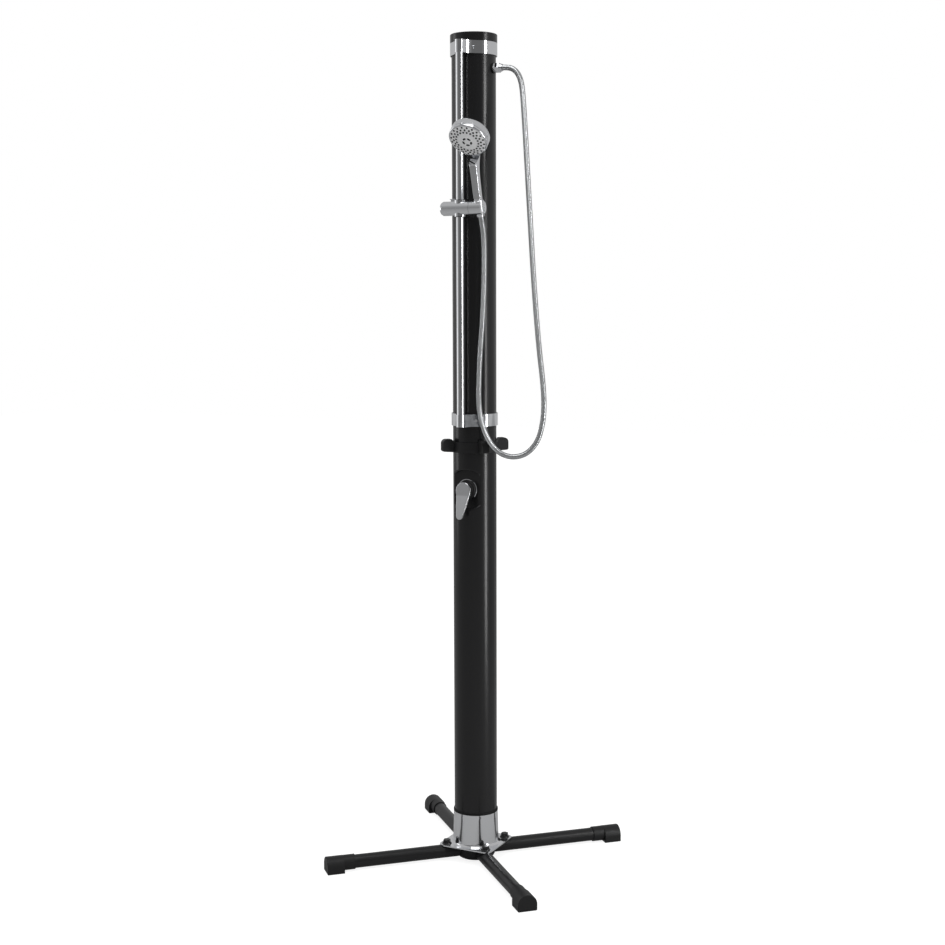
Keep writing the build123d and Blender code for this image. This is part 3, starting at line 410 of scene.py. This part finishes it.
# %% The satin panel let into the handle's front
panel_width = 0.0165
panel_start = 0.023
panel_end = 0.105
panel_depth = 0.0016
panel_proud = 0.0004
panel_corner_round = 0.003
panel_edge_round = 0.0004
panel = bmesh.new()
bmesh.ops.create_cube(panel, size=1)
bmesh.ops.scale(panel, vec=(panel_width, panel_depth, panel_end - panel_start), verts=panel.verts)
corner_edges = [
    edge for edge in panel.edges if abs(edge.verts[0].co.y - edge.verts[1].co.y) > panel_depth / 2
]
round_edges(panel, corner_edges, panel_corner_round, segments=5)
front_edges = [
    edge for edge in panel.edges if all(corner.co.y < -panel_depth * 0.4 for corner in edge.verts)
]
round_edges(panel, front_edges, panel_edge_round, segments=2)
panel_middle = Vector((0, panel_depth / 2 - handle_front - panel_proud, (panel_start + panel_end) / 2))
bmesh.ops.translate(panel, verts=panel.verts, vec=panel_middle)
keep_piece(place_mesh(panel, "grip_panel", handset_frame), "handset", "satin_grey", "handle_panel")

# %% [markdown]
# The spray face is a shallow dome with three rows of rubber nozzles and a rosette of five slots. A formula
# gives the dome's height at each radius, so that the nozzles stand on it. Sixty small cones with few faces
# are enough, because each is five millimetres wide.

# %% The domed face, its nozzles and its rosette
dome_radius = 0.195
dome_top = 0.0012
face_radius = 0.0441
face_steps = 10
nozzle_rows = (0.0410, 0.0345, 0.0280)
nozzles_in_row = 20
nozzle_radius = 0.0026
nozzle_height = 0.0016
nozzle_tip_share = 0.7
nozzle_rim_share = 0.25
nozzle_dimple = 0.0004
slot_count = 5
slot_circle = 0.0100
slot_size = (0.0028, 0.0052)
slot_turn = 46
slot_sunk = 0.0001
slot_depth = 0.0006
slot_top_share = 0.9


def dome_height(radius):
    """The height of the domed face at this distance from its middle."""
    return dome_top - radius**2 / (2 * dome_radius)


face_radii = [step / face_steps * face_radius for step in range(face_steps + 1)]
dome_profile = [(radius, dome_height(radius)) for radius in face_radii]
face_mesh = turned(dome_profile + [(face_radius, scoop_floor), (0, scoop_floor)])
keep_piece(place_mesh(face_mesh, "domed_face", face_frame), "handset", "spray_grey", "spray_face", corner=25)

nozzles = bmesh.new()
for row, row_radius in enumerate(nozzle_rows):
    for number in range(nozzles_in_row):
        turn = 2 * pi * (number + row / 2) / nozzles_in_row
        middle_height = dome_height(row_radius) + nozzle_height / 4
        middle = Vector((cos(turn) * row_radius, sin(turn) * row_radius, middle_height))
        bmesh.ops.create_cone(
            nozzles, cap_ends=True, segments=12, radius1=nozzle_radius,
            radius2=nozzle_radius * nozzle_tip_share, depth=nozzle_height, matrix=Matrix.Translation(middle),
        )
cone_ends = [face for face in nozzles.faces if len(face.verts) > 4]
bmesh.ops.inset_individual(
    nozzles, faces=cone_ends, thickness=nozzle_radius * nozzle_rim_share, depth=-nozzle_dimple
)
keep_piece(place_mesh(nozzles, "rubber_nozzles", face_frame), "handset", "black_rubber", "spray_nozzles")

rosette = bmesh.new()
for number in range(slot_count):
    turn = radians(slot_turn + 360 / slot_count * number)
    middle = Vector((cos(turn) * slot_circle, sin(turn) * slot_circle, dome_height(slot_circle) - slot_sunk))
    slot_shape = Matrix.Rotation(turn, 4, "Z") @ Matrix.Diagonal((*slot_size, 1, 1))
    bmesh.ops.create_cone(
        rosette, cap_ends=True, segments=20, radius1=1, radius2=slot_top_share, depth=slot_depth,
        matrix=Matrix.Translation(middle) @ slot_shape,
    )
keep_piece(place_mesh(rosette, "rosette_slots", face_frame), "handset", "black_rubber", "spray_centre")

# %% The ring that selects the spray, with its tab
ring_profile = [
    (0.0444, -0.0120),
    (0.0444, -0.0042),
    (0.0450, -0.0038),
    (0.0464, -0.0040),
    (0.0476, -0.0047),
    (0.0483, -0.0058),
    (head_radius, -0.0072),
    (head_radius, -0.0114),
    (0.0480, -0.0120),
]
tab_size = Vector((0.0080, 0.0050, 0.0055))
tab_middle = Vector((0, 0.0505, -0.0090))
tab_round = 0.001
selector = turned(ring_profile, closed=True)
tab = bmesh.ops.create_cube(selector, size=1)["verts"]
bmesh.ops.scale(selector, vec=tab_size, verts=tab)
bmesh.ops.translate(selector, vec=tab_middle, verts=tab)
tab_edges = list({edge for corner in tab for edge in corner.link_edges})
round_edges(selector, tab_edges, tab_round, segments=3)
selector_band = place_mesh(selector, "selector_band", face_frame)
keep_piece(selector_band, "spray_selector", "plated_plastic", "selector_ring")

# %% [markdown]
# The holder's jaw is open at its end on the real one. The CAD holder runs a little further, so a copy of its
# mesh is merged and cut off square through the seat, which leaves the two jaws.

# %% The holder, cut off through its seat
jaw_end = 0.0635
jaw = bmesh.new()
jaw.from_mesh(frame["nodes"]["handset_holder"].data)
bmesh.ops.remove_doubles(jaw, verts=jaw.verts, dist=1e-6)
everything = jaw.verts[:] + jaw.edges[:] + jaw.faces[:]
bmesh.ops.bisect_plane(jaw, geom=everything, plane_co=(jaw_end, 0, 0), plane_no=(1, 0, 0), clear_outer=True)
bmesh.ops.holes_fill(jaw, edges=jaw.edges, sides=0)
keep_piece(place_mesh(jaw, "holder_jaw", Matrix.Identity(4)), "holder", "plated_plastic", "handset_holder")

# %% [markdown]
# ## The mixer's trim
#
# Round the lever the real mixer has a thin bright ring. Inside it sits a matte black ring that turns with
# the
# lever: painted dark reflection, standing in for the dark recess that the chrome hub mirrors. Both are
# turned rings.

# %% The bright ring, and a black ring of painted dark reflection
mixer_height = 0.968
mixer_frame = frame_at(Vector((0, 0, mixer_height)), sideways, Vector((0, 0, 1)), Vector((0, -1, 0)))
bezel_profile = [
    (0.0244, 0.0400),
    (0.0244, 0.0424),
    (0.0250, 0.0431),
    (0.0261, 0.0431),
    (0.0268, 0.0422),
    (0.0268, 0.0400),
]
painted_reflection_profile = [
    (0.0196, 0.0404),
    (0.0196, 0.0480),
    (0.0212, 0.0480),
    (0.0226, 0.0473),
    (0.0236, 0.0460),
    (0.0240, 0.0440),
    (0.0240, 0.0404),
]
bezel = place_mesh(turned(bezel_profile, closed=True), "mixer_bezel", mixer_frame)
keep_piece(bezel, "column", "chrome", "trim_ring")
painted_reflection_ring = place_mesh(turned(painted_reflection_profile, closed=True), "mixer_painted_reflection", mixer_frame)
keep_piece(painted_reflection_ring, "mixer_hub", "matte_black")

# %% [markdown]
# ## Shared surface effects
#
# No moulded, plated or painted surface is perfectly even. Three small groups carry what differs: a moulded
# grain that moves the light a little, faint streaks along an extruded tube, and the smudges that hands and
# water leave on chrome. Each gives out plain values, and the shader stays in the material.


# %% Build the three groups
noise_low = 0.3
noise_high = 0.7


def effect_group(name, inputs, outputs):
    """An empty node group with these number inputs and outputs, and its two end nodes."""
    group = bpy.data.node_groups.new(name, "ShaderNodeTree")
    for socket, value in inputs.items():
        made = group.interface.new_socket(socket, in_out="INPUT", socket_type="NodeSocketFloat")
        made.default_value = value
    for socket in outputs:
        group.interface.new_socket(socket, in_out="OUTPUT", socket_type="NodeSocketFloat")
    return group, group.nodes.new("NodeGroupInput"), group.nodes.new("NodeGroupOutput")


def noise_in(group, scale, detail, stretch=(1, 1, 1)):
    """A noise texture on Object coordinates, with its pattern stretched along each axis."""
    place = group.nodes.new("ShaderNodeTexCoord")
    mapping = group.nodes.new("ShaderNodeMapping")
    mapping.inputs["Scale"].default_value = stretch
    noise = group.nodes.new("ShaderNodeTexNoise")
    noise.inputs["Scale"].default_value = scale
    noise.inputs["Detail"].default_value = detail
    group.links.new(place.outputs["Object"], mapping.inputs["Vector"])
    group.links.new(mapping.outputs["Vector"], noise.inputs["Vector"])
    return noise


def spread_of(group, source, low, high):
    """A value that runs from low to high as the noise does, through one Map Range node."""
    spread = group.nodes.new("ShaderNodeMapRange")
    spread.inputs["From Min"].default_value = noise_low
    spread.inputs["From Max"].default_value = noise_high
    group.links.new(source, spread.inputs["Value"])
    group.links.new(low, spread.inputs["To Min"])
    group.links.new(high, spread.inputs["To Max"])
    return spread.outputs["Result"]


grain, grain_in, grain_out = effect_group(
    "moulded_grain", {"Fine": 1400, "Smooth": 0.4, "Rough": 0.5}, ["Height", "Roughness"]
)
fine_grain = noise_in(grain, scale=1400, detail=3)
grain.links.new(grain_in.outputs["Fine"], fine_grain.inputs["Scale"])
grain.links.new(fine_grain.outputs["Fac"], grain_out.inputs["Height"])
broad_grain = noise_in(grain, scale=9, detail=4)
grain_gloss = spread_of(
    grain, broad_grain.outputs["Fac"], grain_in.outputs["Smooth"], grain_in.outputs["Rough"]
)
grain.links.new(grain_gloss, grain_out.inputs["Roughness"])

streaks, streaks_in, streaks_out = effect_group(
    "drawn_streaks", {"Smooth": 0.2, "Rough": 0.3}, ["Height", "Roughness"]
)
long_streaks = noise_in(streaks, scale=60, detail=5, stretch=(1, 1, 0.03))
streaks.links.new(long_streaks.outputs["Fac"], streaks_out.inputs["Height"])
streaks_gloss = spread_of(
    streaks, long_streaks.outputs["Fac"], streaks_in.outputs["Smooth"], streaks_in.outputs["Rough"]
)
streaks.links.new(streaks_gloss, streaks_out.inputs["Roughness"])

smudges, smudges_in, smudges_out = effect_group(
    "hand_smudges", {"Clean": 0.04, "Smudged": 0.12}, ["Height", "Roughness"]
)
soft_patches = noise_in(smudges, scale=26, detail=6)
smudges.links.new(soft_patches.outputs["Fac"], smudges_out.inputs["Height"])
smudges_gloss = spread_of(
    smudges, soft_patches.outputs["Fac"], smudges_in.outputs["Clean"], smudges_in.outputs["Smudged"]
)
smudges.links.new(smudges_gloss, smudges_out.inputs["Roughness"])
print("groups:", [group.name for group in bpy.data.node_groups])

# %% [markdown]
# ## Finishes
#
# One function sets up a finish, and each finish then states its colour, how metallic it is and which effect
# moves its gloss. Numbers that are the same all over go straight on the shader's sockets, so that they stay
# in the exported model.


# %% The function that makes a finish
def finish(name, colour, metallic, group, bump_share, bump_depth, values, gloss=0.5):
    """A Principled finish whose roughness and bump come from one of the groups."""
    material = bpy.data.materials.new(name)
    material.use_nodes = True
    tree = material.node_tree
    shader = tree.nodes["Principled BSDF"]
    shader.inputs["Base Color"].default_value = (*colour, 1)
    shader.inputs["Metallic"].default_value = metallic
    shader.inputs["Specular IOR Level"].default_value = gloss
    effect = tree.nodes.new("ShaderNodeGroup")
    effect.node_tree = group
    for socket, value in values.items():
        effect.inputs[socket].default_value = value
    bump = tree.nodes.new("ShaderNodeBump")
    bump.inputs["Strength"].default_value = bump_share
    bump.inputs["Distance"].default_value = bump_depth
    tree.links.new(effect.outputs["Height"], bump.inputs["Height"])
    tree.links.new(bump.outputs["Normal"], shader.inputs["Normal"])
    tree.links.new(effect.outputs["Roughness"], shader.inputs["Roughness"])
    return material


# %% The finishes, by the names of the record's material slots
finishes = {
    "black_plastic": finish(
        "black_tube", (0.006, 0.006, 0.0065), 0.0, streaks, 0.08, 0.0003, {"Smooth": 0.20, "Rough": 0.27},
        gloss=0.42,
    ),
    "matte_black": finish(
        "moulded_black", (0.009, 0.009, 0.0095), 0.0, grain, 0.25, 0.0002,
        {"Fine": 1500, "Smooth": 0.38, "Rough": 0.50}, gloss=0.30,
    ),
    "black_steel": finish(
        "coated_steel", (0.007, 0.007, 0.0075), 0.0, grain, 0.12, 0.0002,
        {"Fine": 700, "Smooth": 0.28, "Rough": 0.36}, gloss=0.38,
    ),
    "chrome": finish(
        "chrome_plate", (0.80, 0.81, 0.83), 1.0, smudges, 0.02, 0.0004, {"Clean": 0.05, "Smudged": 0.11}
    ),
    "plated_plastic": finish(
        "plated_plastic", (0.76, 0.77, 0.79), 1.0, smudges, 0.03, 0.0004, {"Clean": 0.07, "Smudged": 0.14}
    ),
    "satin_grey": finish(
        "satin_panel", (0.42, 0.425, 0.43), 0.75, grain, 0.10, 0.0001,
        {"Fine": 1800, "Smooth": 0.32, "Rough": 0.42},
    ),
    "spray_grey": finish(
        "spray_face", (0.88, 0.885, 0.89), 0.0, grain, 0.10, 0.0001,
        {"Fine": 1800, "Smooth": 0.30, "Rough": 0.40},
    ),
    "black_rubber": finish(
        "black_rubber", (0.005, 0.005, 0.005), 0.0, grain, 0.20, 0.0001,
        {"Fine": 2200, "Smooth": 0.55, "Rough": 0.70}, gloss=0.20,
    ),
    "steel_hose": finish(
        "hose_steel", (0.52, 0.53, 0.54), 1.0, smudges, 0.03, 0.0002, {"Clean": 0.16, "Smudged": 0.26}
    ),
    "brass": finish(
        "turned_brass", (0.72, 0.55, 0.30), 1.0, smudges, 0.04, 0.0002, {"Clean": 0.18, "Smudged": 0.3}
    ),
    "pipe": finish(
        "feed_pipe", (0.60, 0.61, 0.60), 0.0, grain, 0.10, 0.0002,
        {"Fine": 900, "Smooth": 0.4, "Rough": 0.5},
    ),
}
print("finishes:", sorted(finishes))


# %% Give every CAD node and every length of hose its finish
def dress(piece, slot):
    """The finish of this slot on every face of a piece."""
    piece.data.materials.clear()
    piece.data.materials.append(finishes[slot])


for subpart in frame["record"]["subparts"]:
    dress(frame["nodes"][subpart["node"]], subpart["material_slot"])
# The chrome hub is dressed matte black too: painted dark reflection of the recess that it mirrors.
dress(frame["nodes"]["mixer_hub"], "matte_black")
for tube in hoses.values():
    dress(tube, "steel_hose")
for piece, slot in new_pieces:
    dress(piece, slot)

# %% [markdown]
# ## Light and background
#
# The photograph is a studio cut-out on white, with one tall soft light from the right that draws a line down
# the column, and a broader one from the left. Two tall area lights, a third above and a pale world do the
# same. The floor and the world are white to the camera, and the floor keeps a soft shadow.

# %% The white world, with a darker side behind the camera for metal to mirror
diffuse_level = 0.80
bright_side = 0.50
dark_side = 0.14
bright_until = 0.25
dark_from = 0.75

world = bpy.data.worlds.new("studio")
scene.world = world
world.use_nodes = True
sky = world.node_tree
sky.nodes.clear()
path = sky.nodes.new("ShaderNodeLightPath")
direction = sky.nodes.new("ShaderNodeTexCoord")
facing = sky.nodes.new("ShaderNodeVectorMath")
facing.operation = "DOT_PRODUCT"
facing.inputs[1].default_value = -away
level = sky.nodes.new("ShaderNodeMapRange")
level.inputs["From Min"].default_value = bright_until
level.inputs["From Max"].default_value = dark_from
level.inputs["To Min"].default_value = bright_side
level.inputs["To Max"].default_value = dark_side
sky.links.new(direction.outputs["Generated"], facing.inputs[0])
sky.links.new(facing.outputs["Value"], level.inputs["Value"])


def shown(name, strength):
    """A white background of this strength, which may come from another node."""
    background = sky.nodes.new("ShaderNodeBackground")
    background.name = name
    background.inputs["Color"].default_value = (1, 1, 1, 1)
    if isinstance(strength, float):
        background.inputs["Strength"].default_value = strength
    else:
        sky.links.new(strength, background.inputs["Strength"])
    return background.outputs["Background"]


def choose_by(ray, other, chosen):
    """The chosen background for this kind of ray, and the other one for the rest."""
    choose = sky.nodes.new("ShaderNodeMixShader")
    sky.links.new(path.outputs[ray], choose.inputs["Fac"])
    sky.links.new(other, choose.inputs[1])
    sky.links.new(chosen, choose.inputs[2])
    return choose.outputs["Shader"]


mirrored = shown("mirrored", level.outputs["Result"])
seen = choose_by("Is Glossy Ray", shown("lit", diffuse_level), mirrored)
seen = choose_by("Is Transmission Ray", seen, mirrored)
seen = choose_by("Is Camera Ray", seen, shown("backdrop", 1.0))
sky.links.new(seen, sky.nodes.new("ShaderNodeOutputWorld").inputs["Surface"])
print("world set")


# %% Two tall soft lights and one above
aim_height = 1.05


def soft_light(name, azimuth, distance, height, width, tall, power):
    """An area light on a circle round the column, aimed at the middle of the column's axis."""
    lamp = bpy.data.lights.new(name, "AREA")
    lamp.shape = "RECTANGLE"
    lamp.size = width
    lamp.size_y = tall
    lamp.energy = power
    light = bpy.data.objects.new(name, lamp)
    scene.collection.objects.link(light)
    place = Vector((sin(azimuth) * distance, -cos(azimuth) * distance, height))
    from_aim = place - Vector((0, 0, aim_height))
    light.matrix_world = Matrix.Translation(place) @ from_aim.to_track_quat("Z", "Y").to_matrix().to_4x4()


soft_light("right_strip", radians(87), distance=2.6, height=1.3, width=0.33, tall=2.6, power=34)
soft_light("left_wall", radians(-80), distance=3.0, height=1.6, width=0.9, tall=2.4, power=8)
soft_light("top_light", radians(20), distance=1.2, height=3.6, width=1.6, tall=1.6, power=26)
print("lights set")

# %% The floor
floor_half_width = 12
floor_grey = 0.30
floor_roughness = 0.9
seen_level = 0.84
mirrored_level = 0.08

floor_mesh = bpy.data.meshes.new("floor")
sheet = bmesh.new()
bmesh.ops.create_grid(sheet, x_segments=1, y_segments=1, size=floor_half_width)
sheet.to_mesh(floor_mesh)
sheet.free()
floor = bpy.data.objects.new("floor", floor_mesh)
scene.collection.objects.link(floor)
floor_white = bpy.data.materials.new("floor_white")
floor_white.use_nodes = True
floor_tree = floor_white.node_tree
floor_shader = floor_tree.nodes["Principled BSDF"]
floor_shader.inputs["Base Color"].default_value = (floor_grey, floor_grey, floor_grey, 1)
floor_shader.inputs["Roughness"].default_value = floor_roughness
floor_shader.inputs["Specular IOR Level"].default_value = 0.0
floor_shader.inputs["Emission Color"].default_value = (1, 1, 1, 1)
floor_path = floor_tree.nodes.new("ShaderNodeLightPath")
mirrored_or_through = floor_tree.nodes.new("ShaderNodeMath")
mirrored_or_through.operation = "MAXIMUM"
floor_tree.links.new(floor_path.outputs["Is Glossy Ray"], mirrored_or_through.inputs[0])
floor_tree.links.new(floor_path.outputs["Is Transmission Ray"], mirrored_or_through.inputs[1])
mirrored_part = floor_tree.nodes.new("ShaderNodeMath")
mirrored_part.operation = "MULTIPLY"
mirrored_part.inputs[1].default_value = mirrored_level
floor_tree.links.new(mirrored_or_through.outputs["Value"], mirrored_part.inputs[0])
lift = floor_tree.nodes.new("ShaderNodeMath")
lift.operation = "MULTIPLY_ADD"
lift.inputs[1].default_value = seen_level
floor_tree.links.new(floor_path.outputs["Is Camera Ray"], lift.inputs[0])
floor_tree.links.new(mirrored_part.outputs["Value"], lift.inputs[2])
floor_tree.links.new(lift.outputs["Value"], floor_shader.inputs["Emission Strength"])
floor.data.materials.append(floor_white)
print("floor laid")

# %% [markdown]
# ## The view
#
# The view transform is Standard, so that a colour renders as it is written.

# %% Finish
scene.view_settings.view_transform = "Standard"
